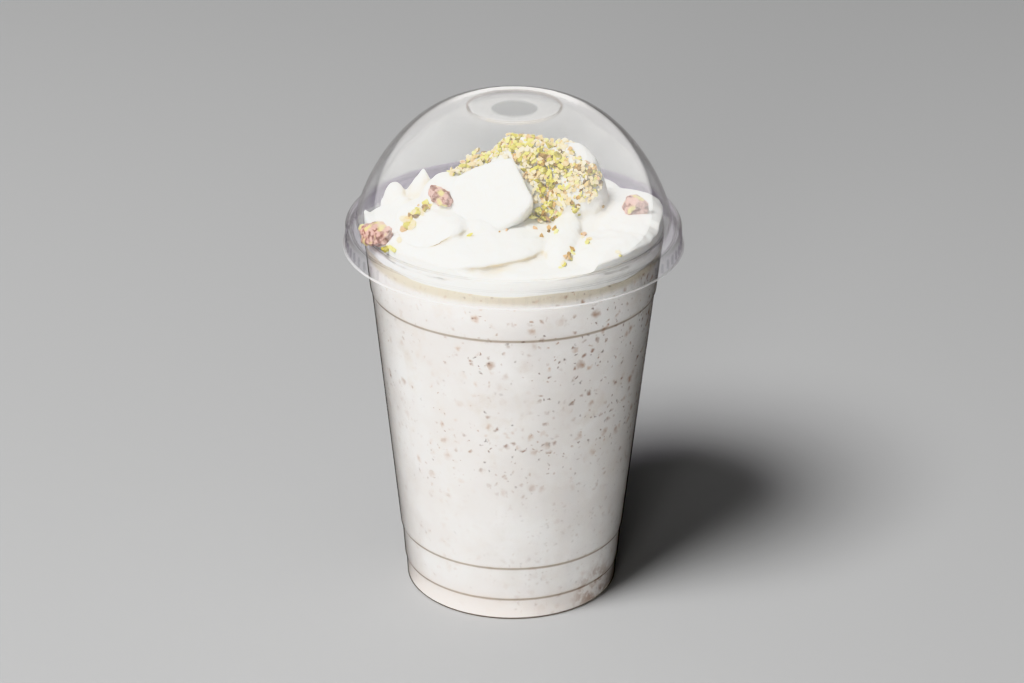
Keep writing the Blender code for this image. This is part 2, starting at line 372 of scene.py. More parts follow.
lidShape = {
    "wall": 0.0005,
    "skirtR": 0.0515,
    "skirtBottom": 0.1127,
    "neck": (0.0504, 0.1168),
    "bead": (0.0508, 0.1189),
    "flangeOuterR": 0.0497,
    "flangeTop": 0.1207,
    "bendRound": 0.0006,     # of its neck, bead and flange
    "domeR": 0.0475,
    "domeRise": 0.0354,
    "domeSteps": 40,
    "sidePower": 1.064,
    "risePower": 1.47,
    "crownR": 0.0144,
    "crownRound": 0.0006,
    "recessR": 0.0130,
    "recessDepth": 0.0008,
    "recessRound": 0.0003,
    "strawHoleR": 0.0068,
    "plainHeight": 0.135,
    "steps": 192,
}
ribShape = {
    "count": 84,
    "wide": 0.0007,
    "deep": 0.0006,
    "tall": 0.0030,
    "round": 0.00022,
    "r": 0.0506,
    "z": 0.1147,
}


def domePoint(share):
    angle = share * math.pi / 2
    out = math.cos(angle) ** lidShape["sidePower"]
    up = math.sin(angle) ** lidShape["risePower"]
    r = lidShape["crownR"] + (lidShape["domeR"] - lidShape["crownR"]) * out
    return (r, lidShape["flangeTop"] + lidShape["domeRise"] * up)


def makeLid():
    crownZ = lidShape["flangeTop"] + lidShape["domeRise"]
    recessZ = crownZ - lidShape["recessDepth"]
    steps = lidShape["domeSteps"]
    outline = [(lidShape["skirtR"], lidShape["skirtBottom"]), lidShape["neck"], lidShape["bead"]]
    outline += [(lidShape["flangeOuterR"], lidShape["flangeTop"])]
    outline += [domePoint(i / steps) for i in range(steps)]
    outline += [(lidShape["crownR"], crownZ), (lidShape["crownR"] - lidShape["crownRound"], crownZ)]
    outline += [(lidShape["recessR"], recessZ), (lidShape["strawHoleR"], recessZ)]
    lid = drawOutline("clear_lid", outline)
    for corner in (lidShape["neck"], lidShape["bead"], (lidShape["flangeOuterR"], lidShape["flangeTop"])):
        roundCorner(lid, corner, lidShape["bendRound"])
    roundCorner(lid, (lidShape["recessR"], recessZ), lidShape["recessRound"])
    spinRound(lid, lidShape["steps"], lidShape["plainHeight"])
    useModifier(lid, "SOLIDIFY", thickness=lidShape["wall"], offset=-1, use_even_offset=True)
    smoothBy(lid, creaseAngle)
    return lid


def makeRibs():
    # small upright ribs inside the skirt, which grip the cup's rim
    bpy.ops.object.select_all(action="DESELECT")
    bpy.ops.mesh.primitive_cube_add(size=1)
    rib = bpy.context.object
    rib.scale = (ribShape["deep"], ribShape["wide"], ribShape["tall"])
    settle(rib)
    openMesh(rib, "SELECT")
    bpy.ops.mesh.bevel(offset=ribShape["round"], segments=2, affect="EDGES")
    closeMesh()
    ribs = []
    for i in range(ribShape["count"]):
        turn = Matrix.Rotation(math.tau * i / ribShape["count"], 4, "Z")
        ribs.append(copyAs(rib, turn @ Matrix.Translation((ribShape["r"], 0, ribShape["z"]))))
    bpy.data.objects.remove(rib)
    joined = joinPieces(ribs, "lid_ribs")
    settle(joined)
    smoothBy(joined, creaseAngle)
    return joined


# what every clear piece shares; a pair is where something starts and where it is full
sheetLook = {
    "clear": (0.99, 0.99, 0.99, 1),
    "veil": (0.9, 0.9, 0.9, 1),
    "waveDepth": 0.0002,
    "rimPower": 6.0,
    "rimLeast": 0.015,
    "rimFade": 0.0008,
    "rimShadeSides": (-0.040, -0.010),       # the thick rim's own tint, deepened by painted shade, greys from its front to its sides
    "rimShadeBack": (0.004, 0.026),          # and again towards its back
    "rimBloom": 0.2,                    # share of the bloom that stays there
    "shadeLineReach": (0.0002, 0.0007),
    "crownShadeInside": 0.0004,              # a painted line of shade lies this far inside the crown's edge
    "crownShadeReach": (0.0001, 0.0006),
    "crownShadeHeights": (0.150, 0.152),
    "mistDepth": (-0.02, 0.04),
    "smudges": (0.1, 0.9),
    "smudgeLeast": 0.7,
    "smudgeMore": 0.6,
    "highlightFade": 0.0002,
    "highlightVeil": 0.45,
    "glossPower": 5,
}


def clearPlastic(name, look):
    # a thin clear sheet: mostly seen through, darker where it is seen on edge, glossy, with a faint bloom
    finish = Finish(name)
    facing = finish.node("ShaderNodeLayerWeight", {}, {"Blend": 0.5}, out="Facing")
    across = finish.along("X")
    backwards = finish.along("Y")
    height = finish.along("Z")
    fade = sheetLook["rimFade"]
    low, high = look["rimHeights"]
    atRim = height.rising(low, low + fade) * (1 - height.rising(high, high + fade))

    through = finish.node("ShaderNodeBsdfTransparent", {}, {"Color": sheetLook["clear"]})
    # the rim's own tint, with painted shade that deepens it towards its sides and back
    through = finish.tint(atRim * backwards.rising(*sheetLook["rimShadeSides"]), through, look["rimTintAndShade"])
    through = finish.tint(atRim * backwards.rising(*sheetLook["rimShadeBack"]), through, look["farTintAndShade"])
    # painted shade: dark lines at the given heights
    for line in look["shadeLines"]:
        through = finish.tint(finish.near(height, line, sheetLook["shadeLineReach"]), through, look["shadeLineTint"])
    # painted shade: a thin dark ring just inside the crown's edge
    radius = (across * across + backwards * backwards) ** 0.5
    crownShade = finish.near(radius, lidShape["crownR"] - sheetLook["crownShadeInside"], sheetLook["crownShadeReach"])
    crownShade = crownShade * height.rising(*sheetLook["crownShadeHeights"])
    through = finish.tint(crownShade, through, look["shadeLineTint"])
    power = look["edgePower"] - atRim * (look["edgePower"] - sheetLook["rimPower"])
    through = finish.tint(facing ** power, through, look["edge"])

    veil = finish.mixShaders(
        0.5,
        finish.node("ShaderNodeBsdfDiffuse", {}, {"Color": sheetLook["veil"]}),
        finish.node("ShaderNodeBsdfTranslucent", {}, {"Color": sheetLook["veil"]}),
    )
    mist = look["haze"] + backwards.rising(*sheetLook["mistDepth"]) * (1 - atRim) * look["mist"]
    smudges = finish.noise(look["smudgeScale"]).rising(*sheetLook["smudges"])
    bloom = (smudges * sheetLook["smudgeMore"] + sheetLook["smudgeLeast"]) * mist
    bloom = bloom * (1 - atRim * (1 - sheetLook["rimBloom"]))
    # painted highlight: below the given height the sheet is veiled whitish
    highlightEdge = 1 - height.rising(look["highlightEdge"], look["highlightEdge"] + sheetLook["highlightFade"])
    through = finish.mixShaders(bloom + highlightEdge * sheetLook["highlightVeil"], through, veil)

    waves = finish.bump(finish.noise(look["waveScale"]), sheetLook["waveDepth"])
    shine = finish.node(
        "ShaderNodeBsdfAnisotropic",
        {},
        {"Color": (1, 1, 1, 1), "Roughness": look["roughness"], "Normal": waves},
    )
    least = look["least"] - atRim * (look["least"] - sheetLook["rimLeast"])
    mirror = least + look["edgeGloss"] * facing ** sheetLook["glossPower"]
    return finish.surface(finish.mixShaders(mirror, through, shine))


cupLook = {
    "edge": (0.12, 0.09, 0.07, 1),
    "edgePower": 4.2,
    "haze": 0.006,
    "mist": 0.0,
    "rimHeights": (0.1160, 0.1205),
    "rimTintAndShade": (0.97, 0.965, 0.978, 1),
    "farTintAndShade": (0.93, 0.915, 0.945, 1),
    "highlightEdge": -1.0,
    "shadeLines": (0.0, 0.0073, 0.0187, 0.0989),    # painted shade: a dark line where the foot meets the floor, and one under each small step
    "shadeLineTint": (0.70, 0.65, 0.60, 1),
    "smudgeScale": 70.0,
    "least": 0.02,
    "edgeGloss": 0.10,
    "roughness": 0.06,
    "waveScale": 60.0,
}
lidLook = {
    "edge": (0.24, 0.19, 0.17, 1),
    "edgePower": 9.0,
    "haze": 0.022,
    "mist": 0.07,             # more of it inside the back of the dome
    "rimHeights": (0.1120, 0.1208),
    "rimTintAndShade": (0.955, 0.947, 0.968, 1),
    "farTintAndShade": (0.90, 0.88, 0.925, 1),
    "highlightEdge": 0.1129,        # painted highlight: the skirt's lower edge is veiled whitish
    "shadeLines": (),
    "shadeLineTint": (0.80, 0.76, 0.73, 1),
    "smudgeScale": 60.0,
    "least": 0.08,
    "edgeGloss": 0.5,
    "roughness": 0.05,
    "waveScale": 45.0,
}
ribLook = dict(
    lidLook,
    edge=(0.70, 0.69, 0.72, 1),
    rimTintAndShade=(0.86, 0.85, 0.88, 1),
    haze=0.0,
    mist=0.0,
    highlightEdge=-1.0,
)


# The shake: it fills the cup and reaches just into its wall, so that no air shows between them

shakeShape = {
    "level": 0.1140,
    "reach": 0.0002,       # how far it goes into the wall
    "edgeDeep": 0.002,     # the topmost strip of its side
    "edgeShare": 0.96,     # its flat top starts at this share of the inner radius
    "waves": ((2, 0.0005, 0.4), (5, 0.0004, 1.9), (9, 0.0003, 0.2)),    # turns, height, start
    "plainHeight": 0.06,
    "steps": 192,
}


def cupInnerR(z, depth):
    side = insetOutline(cupSkin(), depth)
    for (lowR, lowZ), (highR, highZ) in zip(side[4:], side[5:]):
        if z <= highZ:
            return lowR + (highR - lowR) * (z - lowZ) / (highZ - lowZ)
    return side[-1][0]


def makeShake():
    depth = cupShape["wall"] - shakeShape["reach"]
    side = insetOutline(cupSkin(), depth)
    level = shakeShape["level"]
    under = level - shakeShape["edgeDeep"]
    topR = cupInnerR(level, depth)
    outline = side[:-1] + [(cupInnerR(under, depth), under), (topR, level)]
    outline += [(topR * shakeShape["edgeShare"], level), (0.0, level)]
    shake = drawOutline("speckled_shake", outline)
    spinRound(shake, shakeShape["steps"], shakeShape["plainHeight"])
    for v in shake.data.vertices:
        # its top edge against the wall is wavy
        if v.co.z > (level + under) / 2 and math.hypot(v.co.x, v.co.y) > topR - 0.0001:
            angle = math.atan2(v.co.y, v.co.x)
            for turns, height, start in shakeShape["waves"]:
                v.co.z += height * math.sin(turns * angle + start)
    smoothBy(shake, creaseAngle)
    return shake


# a pair of heights or distances is where something starts and where it is full
shakeLook = {
    "base": tone(224, 221, 218),
    "pale": tone(234, 233, 231),
    "paleClouds": (48.0, 4.0, 0.35, 0.70),
    "dull": tone(212, 203, 193),
    "dullClouds": (120.0, 4.0, 0.50, 0.75),
    "dullShare": 0.5,
    "foot": tone(218, 210, 204),
    "footHeights": (0.004, 0.012),
    "footShare": 0.5,
    "rimShadow": tone(200, 190, 168),    # painted shadow of the rim and lid on its top few millimetres
    "rimShadowHeights": (0.1098, 0.1122),
    "rimShadowShare": 0.75,
    "brownPatch": tone(150, 112, 86),
    "brownPatchPlace": (0.0255, -0.0200, 0.0040),
    "brownPatchReach": (0.002, 0.013),
    "brownPatchClouds": (330.0, 3.0, 0.40, 0.62),
    "brownPatchShare": 0.6,
    # cells to the metre, share of cells with a speck, largest size in cells, how soft its edge is,
    # the two ends of its colours, strength
    "specks": (
        (230, 0.55, 0.52, 0.0, tone(198, 172, 152), tone(166, 134, 112), 0.85),
        (400, 0.50, 0.50, 0.0, tone(176, 140, 114), tone(134, 98, 76), 0.90),
        (640, 0.30, 0.44, 0.2, tone(150, 104, 72), tone(112, 100, 96), 0.80),
        (210, 0.10, 0.21, 0.1, tone(136, 78, 48), tone(84, 78, 78), 0.85),
    ),
    "stray": 0.003,                  # specks lose their round shape by this much
    "strayScale": 420.0,
    "fewest": 0.25,                  # share of their strength that is left low down or on the left
    "upperHeights": (0.035, 0.070),
    "crowdScale": 70.0,
    "crowdLean": 2.5,                # how much more they crowd to the right
    "crowd": (0.38, 0.58),
    "subsurface": 0.1,
    "radius": (0.003, 0.002, 0.0015),
}


def speckLayer(finish, where, scale, share, largest, soft):
    # flecks in some cells of a cell pattern: how much shows, and a random number for each
    settings = {"feature": "F1", "distance": "EUCLIDEAN"}
    sockets = {"Vector": where, "Scale": scale, "Randomness": 1.0}
    distance = finish.node("ShaderNodeTexVoronoi", settings, sockets, out="Distance")
    colour = finish.node("ShaderNodeTexVoronoi", settings, sockets, out="Color")
    first = finish.node("ShaderNodeSeparateColor", {}, {"Color": colour}, out="Red")
    second = finish.node("ShaderNodeSeparateColor", {}, {"Color": colour}, out="Green")
    size = (second * 0.6 + 0.4) * largest
    fleck = 1 - (distance / size).rising(soft, 1.0)
    chosen = first.rising(1 - share - 0.01, 1 - share + 0.01)
    return fleck * chosen, second


def shakeFinish():
    finish = Finish("speckled_shake")
    look = shakeLook
    place = finish.place()
    height = finish.along("Z")
    few = look["fewest"]
    upper = few + (1 - few) * height.rising(*look["upperHeights"])
    rightwards = finish.along("X") * look["crowdLean"]
    crowded = (finish.noise(look["crowdScale"], 3.0, 0.6) + rightwards).rising(*look["crowd"])

    colour = finish.blend(finish.clouds(*look["paleClouds"]), look["base"], look["pale"])
    dull = finish.clouds(*look["dullClouds"]) * upper * look["dullShare"]
    colour = finish.blend(dull, colour, look["dull"])
    foot = 1 - height.rising(*look["footHeights"])
    colour = finish.blend(foot * look["footShare"], colour, look["foot"])
    # painted shadow: the top few millimetres darker and warmer, under the rim
    colour = finish.blend(height.rising(*look["rimShadowHeights"]) * look["rimShadowShare"], colour, look["rimShadow"])
    # browner blotches round one spot low on its right front
    sockets = {0: place, 1: look["brownPatchPlace"]}
    far = finish.node("ShaderNodeVectorMath", {"operation": "DISTANCE"}, sockets, out="Value")
    brownPatch = (1 - far.rising(*look["brownPatchReach"])) * finish.clouds(*look["brownPatchClouds"])
    colour = finish.blend(brownPatch * look["brownPatchShare"], colour, look["brownPatch"])

    sockets = {"Vector": place, "Scale": look["strayScale"], "Detail": 3.0}
    drift = finish.node("ShaderNodeTexNoise", {}, sockets, out="Color")
    sockets = {0: drift, 1: (look["stray"], look["stray"], look["stray"]), 2: place}
    strayed = finish.node("ShaderNodeVectorMath", {"operation": "MULTIPLY_ADD"}, sockets)
    for scale, share, largest, soft, start, end, strength in look["specks"]:
        fleck, pick = speckLayer(finish, strayed, scale, share, largest, soft)
        shown = fleck * upper * (few + (1 - few) * crowded) * strength
        colour = finish.blend(shown, colour, finish.blend(pick, start, end))
    shader = finish.node(
        "ShaderNodeBsdfPrincipled",
        {},
        {
            "Base Color": colour,
            "Roughness": 0.5,
            "Specular IOR Level": 0.0,
            "Subsurface Weight": look["subsurface"],
            "Subsurface Radius": look["radius"],
            "Subsurface Scale": 1.0,
        },
    )
    return finish.surface(shader)


# The whipped cream: laid lumps that run into one another, and a small peak

creamShape = {
    "level": 0.1185,       # between the lumps
    "bottom": 0.1128,      # under the shake's wavy edge
    "edgeHeight": 0.1172,  # at the cup's wall
    "edgeWide": 0.0015,    # how far in from the wall it reaches its level
    "reach": 0.0001,       # how far it goes into the wall, less than the shake
    "wallWide": 0.0006,    # this near the wall, and this far under the edge, it is held to the wall
    "wallTop": 0.0008,
    "steps": 160,
    "voxel": 0.00055,
    "smoothing": 3,
    "swells": ((0.0080, 0.0012), (0.0032, 0.0004)),    # size and height of its unevenness
    # middle, half widths and half height, turn and dip towards the front in degrees
    "lumps": (
        (0.0039, 0.0021, 0.1208, 0.0172, 0.0125, 0.0243, 0, 0),       # the mound, its left and its right
        (-0.0085, 0.0022, 0.1220, 0.0121, 0.0127, 0.0166, 0, 0),
        (0.0168, -0.0011, 0.1252, 0.0114, 0.0128, 0.0193, 0, 0),
        (0.0150, -0.0205, 0.1219, 0.0050, 0.0180, 0.0042, -10, 9),   # the fold that runs down from it
        (0.0215, -0.0080, 0.1196, 0.0064, 0.0130, 0.0070, -12, 10),
        (-0.0160, -0.0140, 0.1220, 0.0300, 0.0280, 0.0046, 0, 0),     # the broad front swirl
        (-0.0230, -0.0160, 0.1264, 0.0120, 0.0172, 0.0042, 0, -3),    # the lobe laid over its left
        (-0.0185, -0.0085, 0.1250, 0.0105, 0.0130, 0.0122, 0, 0),     # beside the block
        (-0.0125, -0.0165, 0.1238, 0.0135, 0.0115, 0.0060, 0, 0),
        (0.0040, -0.0280, 0.1173, 0.0340, 0.0180, 0.0034, 0, 0),      # low, along the front wall
        (-0.0200, -0.0270, 0.1180, 0.0240, 0.0180, 0.0044, 20, 0),
        (0.0292, -0.0235, 0.1197, 0.0150, 0.0175, 0.0044, 25, 0),
        (0.0312, -0.0010, 0.1197, 0.0172, 0.0215, 0.0068, 8, 0),      # the shelf on the right
        (-0.0200, 0.0010, 0.1200, 0.0110, 0.0100, 0.0095, 0, 0),      # left of the mound
        (-0.0300, -0.0030, 0.1190, 0.0090, 0.0070, 0.0070, 0, 0),
        (-0.0358, 0.0050, 0.1235, 0.0036, 0.0050, 0.0060, 10, 0),     # the torn crests on the left
        (-0.0335, 0.0000, 0.1220, 0.0040, 0.0045, 0.0045, -30, 0),
        (-0.0435, -0.0070, 0.1190, 0.0034, 0.0058, 0.0050, 20, 0),
        (-0.0380, -0.0160, 0.1180, 0.0070, 0.0085, 0.0040, 25, 0),
        (-0.0100, 0.0230, 0.1150, 0.0190, 0.0130, 0.0052, -25, 0),    # the low back
        (0.0170, 0.0270, 0.1165, 0.0180, 0.0110, 0.0050, 22, 0),
        (0.0040, 0.0150, 0.1190, 0.0160, 0.0100, 0.0130, 10, 0),
    ),
    "hollowFade": 0.004,   # hollows are shallower this near the bottom
    # place, reach and depth of the hollows between them
    "hollows": (
        (-0.0405, 0.0180, 0.0065, 0.0044),
        (-0.0318, 0.0140, 0.0034, 0.0040),
        (-0.0300, 0.0300, 0.0120, 0.0030),
    ),
    # the lid's shoulder holds the front down: where it starts, and its height and slope
    "shoulder": {"front": -0.012, "r": 0.0462, "z": 0.1204, "slope": 0.75},
    "peakSteps": 12,
    "peakPower": 1.15,
    "peakRoot": 0.002,     # how far its foot goes on into the cream
    # tip, half width at the foot, height, how far the tip leans
    "peaks": (
        (-0.0272, 0.0070, 0.1338, 0.0085, 0.0120, (0.0006, 0.0)),
        (-0.0372, 0.0045, 0.1300, 0.0034, 0.0060, (-0.0006, 0.0)),
        (-0.0446, -0.0040, 0.1252, 0.0026, 0.0048, (-0.0004, 0.0)),
    ),
}


def addLump(x, y, z, wide, deep, tall, turn, dip):
    bpy.ops.object.select_all(action="DESELECT")
    bpy.ops.mesh.primitive_uv_sphere_add(
        segments=48,
        ring_count=24,
        radius=1,
        location=(x, y, z),
        rotation=(math.radians(dip), 0, math.radians(turn)),
        scale=(wide, deep, tall),
    )
    lump = bpy.context.object
    if z - tall < creamShape["bottom"]:
        settle(lump)
        openMesh(lump, "SELECT")
        cut = (0, 0, creamShape["bottom"] + 0.0002)
        bpy.ops.mesh.bisect(plane_co=cut, plane_no=(0, 0, 1), use_fill=True, clear_inner=True)
        closeMesh()
    return lump


def addPeak(x, y, z, wide, tall, lean):
    # a soft cone whose tip was drawn up and leans a little
    steps = creamShape["peakSteps"]
    power = creamShape["peakPower"]
    root = creamShape["peakRoot"]
    outline = [(wide * (1 - i / steps) ** power, tall * (i / steps - 1)) for i in range(steps)]
    piece = drawOutline("peak", [(0.0, -tall - root), (wide, -tall - root)] + outline + [(0.0, 0.0)])
    spinRound(piece, 40, -tall - root / 2)
    for v in piece.data.vertices:
        share = max(1 + v.co.z / tall, 0) ** 2
        v.co.x += lean[0] * share
        v.co.y += lean[1] * share
    piece.location = (x - lean[0], y - lean[1], z)
    settle(piece)
    return piece


def creamLimit(z):
    return cupInnerR(min(z, cupShape["neck"][1]), cupShape["wall"] - creamShape["reach"])


def makeCream():
    level = creamShape["level"]
    bottom = creamShape["bottom"]
    edge = creamShape["edgeHeight"]
    outline = [(0.0, bottom), (creamLimit(bottom), bottom), (creamLimit(edge), edge)]
    outline += [(creamLimit(edge) - creamShape["edgeWide"], level), (0.0, level)]
    base = drawOutline("cream_base", outline)
    spinRound(base, creamShape["steps"], (bottom + edge) / 2)
    lumps = [addLump(*lump) for lump in creamShape["lumps"]]
    peaks = [addPeak(*peak) for peak in creamShape["peaks"]]
    cream = joinPieces([base] + lumps + peaks, "whipped_cream_laid")
    settle(cream)
    useModifier(cream, "REMESH", mode="VOXEL", voxel_size=creamShape["voxel"], use_smooth_shade=True)
    shoulder = creamShape["shoulder"]
    for v in cream.data.vertices:
        for x, y, reach, depth in creamShape["hollows"]:
            share = math.exp(-((v.co.x - x) ** 2 + (v.co.y - y) ** 2) / reach ** 2)
            v.co.z -= depth * share * min(max((v.co.z - bottom) / creamShape["hollowFade"], 0), 1)
        if v.co.y < shoulder["front"]:
            highest = shoulder["z"] + (shoulder["r"] - math.hypot(v.co.x, v.co.y)) * shoulder["slope"]
            v.co.z = min(v.co.z, max(highest, edge))
    useModifier(cream, "SMOOTH", factor=0.5, iterations=creamShape["smoothing"])
    for size, height in creamShape["swells"]:
        swell(cream, size, height, depth=1)
    # the wall and the dome hold it in
    for v in cream.data.vertices:
        limit = creamLimit(v.co.z)
        r = math.hypot(v.co.x, v.co.y)
        beside = r > limit - creamShape["wallWide"] and v.co.z < edge - creamShape["wallTop"]
        if r > limit or beside:
            v.co.x *= limit / r
            v.co.y *= limit / r
    smoothAll(cream)
    return cream


creamLook = {
    "light": tone(232, 232, 229),
    "creaseShade": tone(198, 182, 150),
    "creaseShadeReach": 0.008,
    "closed": 0.32,          # how open the surface is where the painted crease shade is full
    "open": 0.88,            # and where it is gone
    "gloss": 0.35,
    "subsurface": 0.3,
    "radius": (0.004, 0.0035, 0.003),
    "bump": 0.00025,
}


def creamFinish(name, look):
    # painted shade: folds and creases, where the surface is closed in, are darkened to a warm beige
    finish = Finish(name)
    settings = {"samples": 8, "only_local": True}
    opened = finish.node("ShaderNodeAmbientOcclusion", settings, {"Distance": look["creaseShadeReach"]}, out="AO")
    colour = finish.blend(opened.rising(look["closed"], look["open"]), look["creaseShade"], look["light"])
    grain = finish.noise(420.0, 3.0, 0.55) + finish.noise(1500.0, 2.0, 0.5) * 0.3
    shader = finish.node(
        "ShaderNodeBsdfPrincipled",
        {},
        {
            "Base Color": colour,
            "Roughness": 0.5,
            "Specular IOR Level": look["gloss"],
            "Subsurface Weight": look["subsurface"],
            "Subsurface Radius": look["radius"],
            "Subsurface Scale": 1.0,
            "Normal": finish.bump(grain, look["bump"]),
        },
    )
    return finish.surface(shader)


# The blocky lump of thick cream

blockShape = {
    "outline": (
        (0.0022, -0.0126), (0.0082, -0.0086), (0.0124, -0.0032), (0.0089, 0.0042),
        (0.0058, 0.0108), (0.0004, 0.0096), (-0.0056, 0.0072), (-0.0114, 0.0038),
        (-0.0132, -0.0030), (-0.0112, -0.0088), (-0.0040, -0.0134),
    ),
    "deep": 0.0100,
    "round": 0.0016,
    "voxel": 0.0005,
    "smoothing": 3,
    "swell": (0.006, 0.0007),    # size and height of its unevenness
    "middle": (-0.0062, -0.0126, 0.1324),
    "lean": 48,
}


def makeBlock():
    bpy.ops.object.select_all(action="DESELECT")
    bpy.ops.mesh.primitive_circle_add(vertices=len(blockShape["outline"]), radius=0.01, fill_type="NGON")
    block = bpy.context.object
    block.name = "cream_block"
    for v, (x, y) in zip(block.data.vertices, blockShape["outline"]):
        v.co = (x, y, -blockShape["deep"] / 2)
    openMesh(block, "SELECT")
    bpy.ops.mesh.extrude_region_move(TRANSFORM_OT_translate={"value": (0, 0, blockShape["deep"])})
    bpy.ops.mesh.select_all(action="SELECT")
    bpy.ops.mesh.normals_make_consistent(inside=False)
    bpy.ops.mesh.bevel(offset=blockShape["round"], segments=5, affect="EDGES")
    closeMesh()
    lean = Matrix.Rotation(math.radians(blockShape["lean"]), 4, "X")
    block.matrix_world = Matrix.Translation(blockShape["middle"]) @ lean
    settle(block)
    useModifier(block, "REMESH", mode="VOXEL", voxel_size=blockShape["voxel"], use_smooth_shade=True)
    useModifier(block, "SMOOTH", factor=0.5, iterations=blockShape["smoothing"])
    swell(block, *blockShape["swell"])
    smoothAll(block)
    return block


# The chopped pistachios: a few cut pieces are made once, then copied over the cream

# Each patch lies where the photograph shows it: its middle and half widths in the photograph's pixels,
# its turn, the number of pieces, their smallest and largest size, the layers that they lie in, and how
# many of them are green or have some skin
patchKeys = ("x", "y", "wide", "deep", "turn", "pieces", "least", "most", "layers", "green", "brown")
nutPatches = (
    (558, 172, 44, 26, 28, 260, 0.0005, 0.0013, 2, 0.30, 0.09),
    (547, 172, 28, 22, 40, 150, 0.0007, 0.0017, 4, 0.42, 0.10),
    (553, 168, 15, 13, 0, 16, 0.0014, 0.0022, 5, 0.90, 0.05),
    (549, 196, 22, 10, 5, 90, 0.0005, 0.0014, 2, 0.32, 0.20),
    (513, 153, 8, 10, 0, 36, 0.0005, 0.0013, 3, 0.50, 0.08),
    (363, 230, 4, 3, 33, 3, 0.0018, 0.0022, 2, 1.0, 0.0),
    (390, 249, 4, 2, 20, 3, 0.0014, 0.0018, 2, 1.0, 0.0),
    (584, 177, 16, 14, 0, 90, 0.0005, 0.0014, 2, 0.30, 0.12),
    (528, 149, 17, 17, 0, 90, 0.0006, 0.0015, 3, 0.50, 0.08),
    (521, 141, 9, 8, 0, 9, 0.0012, 0.0019, 4, 0.80, 0.05),
    (480, 157, 35, 10, -29, 300, 0.0006, 0.0015, 3, 0.42, 0.12),
    (556, 142, 13, 7, 10, 70, 0.0005, 0.0013, 3, 0.20, 0.08),
    (511, 136, 5, 7, 0, 16, 0.0006, 0.0012, 6, 0.60, 0.05),
    (547, 213, 18, 9, -22, 60, 0.0006, 0.0016, 2, 0.62, 0.18),
    (571, 204, 9, 5, 20, 12, 0.0007, 0.0015, 2, 0.30, 0.40),
    # under the block's lower right edge: small crumbs, mostly brown, that also paint the shade under that
    # edge
    (514, 223, 20, 3, -33, 34, 0.0004, 0.0009, 1, 0.30, 0.40),
    (590, 192, 14, 9, -50, 40, 0.0004, 0.0012, 1, 0.25, 0.20),
    (418, 214, 13, 4, -25, 22, 0.0009, 0.0020, 2, 0.55, 0.25),
    (408, 226, 8, 6, -60, 12, 0.0012, 0.0026, 1, 0.30, 0.08),
    (424, 205, 9, 3, -10, 9, 0.0005, 0.0011, 1, 0.70, 0.20),
    (566, 258, 11, 2, -60, 8, 0.0009, 0.0016, 1, 0.10, 0.70),
    (550, 229, 3, 3, 0, 3, 0.0011, 0.0016, 1, 0.00, 0.90),
    (582, 236, 3, 2, 0, 3, 0.0010, 0.0015, 1, 0.00, 0.50),
)
# more of them behind, where the dome mirrors them: in metres, dropped from above
hiddenNuts = {
    "x": 0.0030, "y": 0.0070, "from": 0.16, "wide": 0.0160, "deep": 0.0065,
    "pieces": 300, "least": 0.0006, "most": 0.0015,
}
# single ones, in the photograph's pixels
nutCrumbs = (
    (557, 232), (590, 240), (588, 243), (571, 249), (573, 254), (569, 258),
    (565, 264), (560, 268), (572, 252), (620, 256), (618, 253), (541, 236),
    (535, 229), (579, 215), (470, 236), (603, 206), (555, 229), (400, 240),
)
# the skinned pieces: middle and half widths in the photograph's pixels, turn, thickness
skinnedPieces = (
    {"x": 378, "y": 236, "long": 28, "wide": 13, "turn": 35, "thick": 0.0030},
    {"x": 441, "y": 197, "long": 15, "wide": 9, "turn": 48, "thick": 0.0026},
    {"x": 633, "y": 211, "long": 15, "wide": 9, "turn": 15, "thick": 0.0040},
)
nutShape = {
    "seed": 23,
    "masters": 6,
    "cuts": (6, 7, 8),
    "crumbs": (0.0006, 0.0013),
    "tilt": 1.4,
    "width": (0.55, 0.95),       # shares of a piece's length
    "height": (0.4, 0.85),
    "lift": 0.3,                 # how high its middle lies, as a share of its size
    "layerLift": 0.0010,
    "layerFall": 0.6,            # how much thinner the layers are at a patch's edge
    "blockGap": 0.0004,          # none lie on the block
}
skinShape = {
    "cuts": 5,
    "nearest": 0.60,             # the cuts lie between these shares of the radius
    "furthest": 0.80,
    "divisions": 3,
    "smoothing": 4,
    "swell": (0.0016, 0.0014),   # size and height of its wrinkles
}
nutStops = {
    "green": (
        (0.0, tone(140, 128, 38)),
        (0.35, tone(194, 184, 78)),
        (0.7, tone(220, 214, 124)),
        (1.0, tone(238, 234, 168)),
    ),
    "pale": (
        (0.0, tone(222, 192, 126)),
        (0.4, tone(246, 232, 192)),
        (1.0, tone(251, 243, 220)),
    ),
    "brown": (
        (0.0, tone(104, 78, 28)),
        (0.4, tone(170, 134, 58)),
        (0.7, tone(190, 156, 104)),
        (1.0, tone(206, 170, 138)),
    ),
}


def cutMaster(rng, cuts, least=0.30, most=0.65):
    # a small ball with flat cuts all round, as a knife leaves them
    bpy.ops.object.select_all(action="DESELECT")
    bpy.ops.mesh.primitive_ico_sphere_add(subdivisions=2, radius=1)
    master = bpy.context.object
    openMesh(master, "SELECT")
    for _ in range(cuts):
        way = Vector((rng.gauss(0, 1), rng.gauss(0, 1), rng.gauss(0, 1))).normalized()
        spot = way * rng.uniform(least, most)
        bpy.ops.mesh.select_all(action="SELECT")
        bpy.ops.mesh.bisect(plane_co=spot, plane_no=way, use_fill=True, clear_outer=True, clear_inner=False)
    bpy.ops.mesh.select_all(action="SELECT")
    bpy.ops.mesh.dissolve_limited(angle_limit=math.radians(12))
    bpy.ops.mesh.select_all(action="SELECT")
    bpy.ops.mesh.normals_make_consistent(inside=False)
    closeMesh()
    return master


